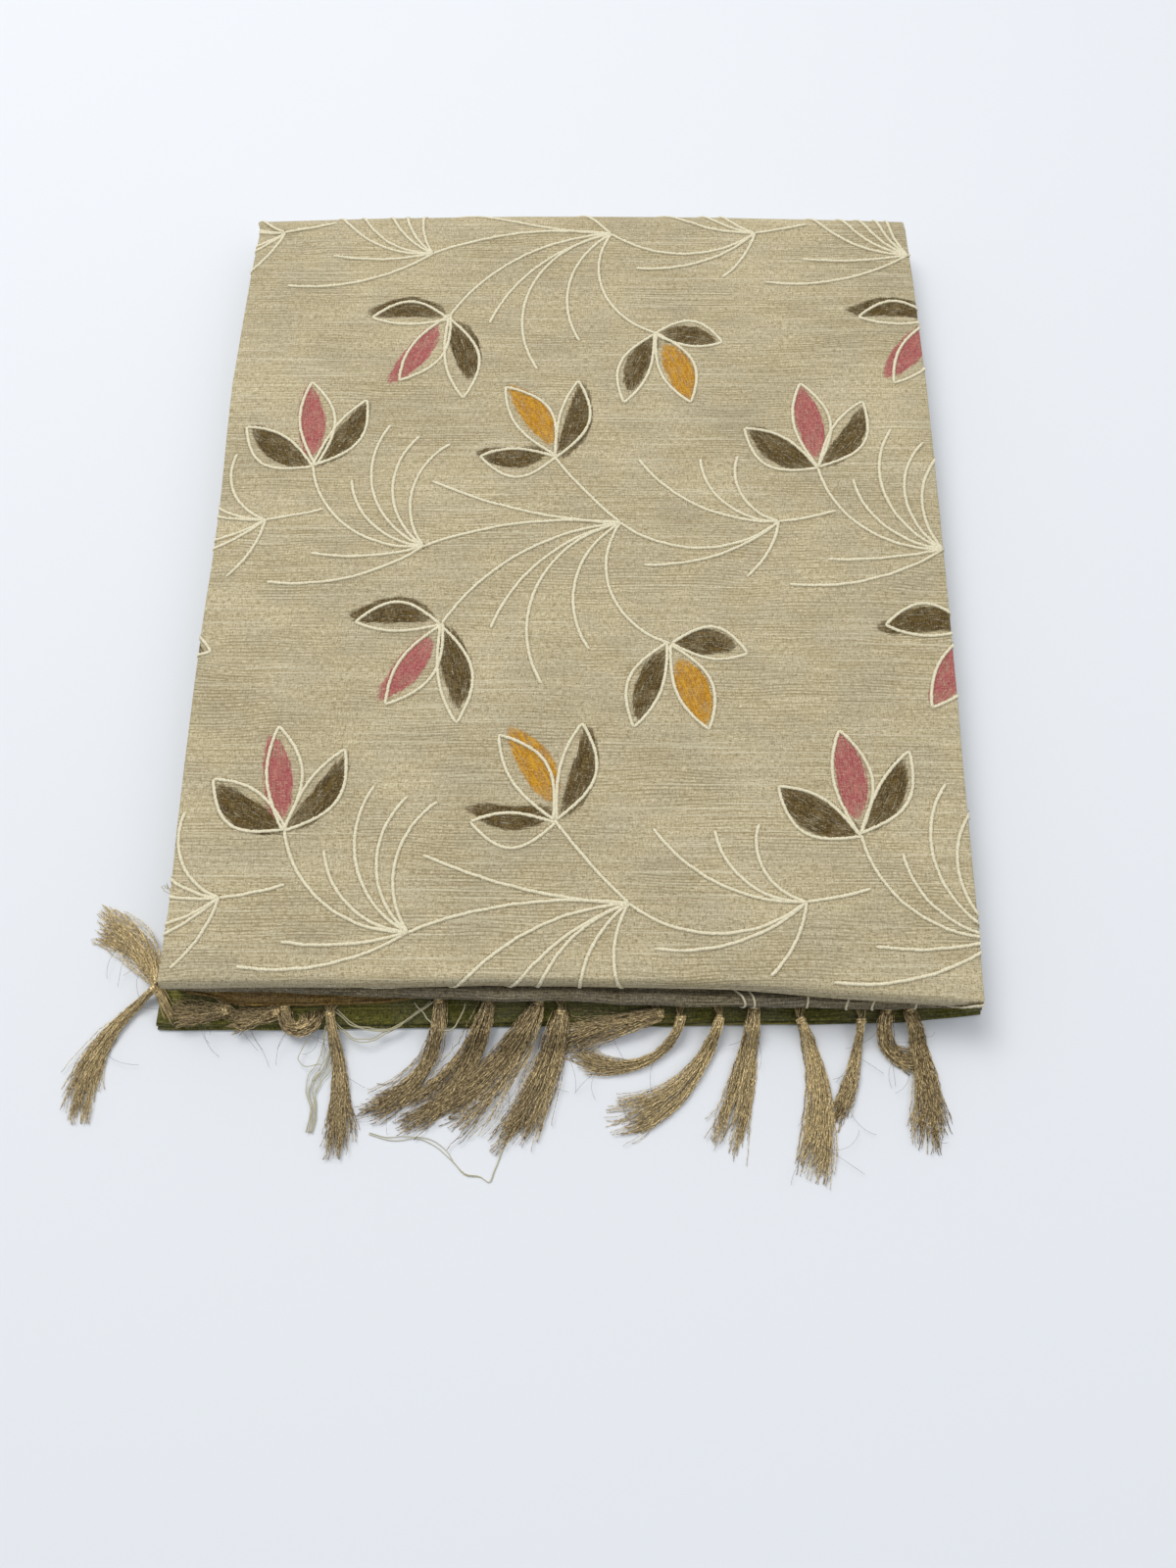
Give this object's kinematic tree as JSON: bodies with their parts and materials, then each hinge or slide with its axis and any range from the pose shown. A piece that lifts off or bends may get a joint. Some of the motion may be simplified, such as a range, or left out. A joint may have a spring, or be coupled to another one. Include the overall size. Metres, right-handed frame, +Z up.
{
  "type": "folded sari with blouse cloth",
  "caption": "Hand-painted, embroidered sari folded flat into a rectangle, with its green blouse cloth folded beneath it and the knotted tassels of its pallu lying out at the front",
  "frame": {"origin": "on the flat underside, midway between the sides and between the front and back folds", "axes": "+X to the right seen from the tasselled front, +Y from the tasselled front to the back fold, +Z up"},
  "size_m": [0.3326, 0.4062, 0.0239],
  "materials": {
    "sari_cloth": "slubbed silk-cotton, beige, faint sheen",
    "pallu_hem": "golden-brown metallic weft, faint sheen",
    "blouse_cloth": "olive-green slubbed silk-cotton, faint sheen",
    "tassel_thread": "gold-brown metallic thread, glinting",
    "embroidery_thread": "cream couched thread"
  },
  "bodies": {
    "root": {"upper_fold": "sari_cloth", "lower_fold": "sari_cloth", "hidden_layers": "sari_cloth", "pallu_end": "pallu_hem", "blouse_piece": "blouse_cloth", "tassel_01": "tassel_thread", "tassel_02": "tassel_thread", "tassel_03": "tassel_thread", "tassel_04": "tassel_thread", "tassel_05": "tassel_thread", "tassel_06": "tassel_thread", "tassel_07": "tassel_thread", "tassel_08": "tassel_thread", "tassel_09": "tassel_thread", "tassel_10": "tassel_thread", "tassel_11": "tassel_thread", "tassel_12": "tassel_thread", "tassel_13": "tassel_thread", "tassel_14": "tassel_thread", "tassel_15": "tassel_thread", "tassel_16": "tassel_thread", "tassel_17": "tassel_thread", "tassel_18": "tassel_thread"}
  },
  "joints": []
}
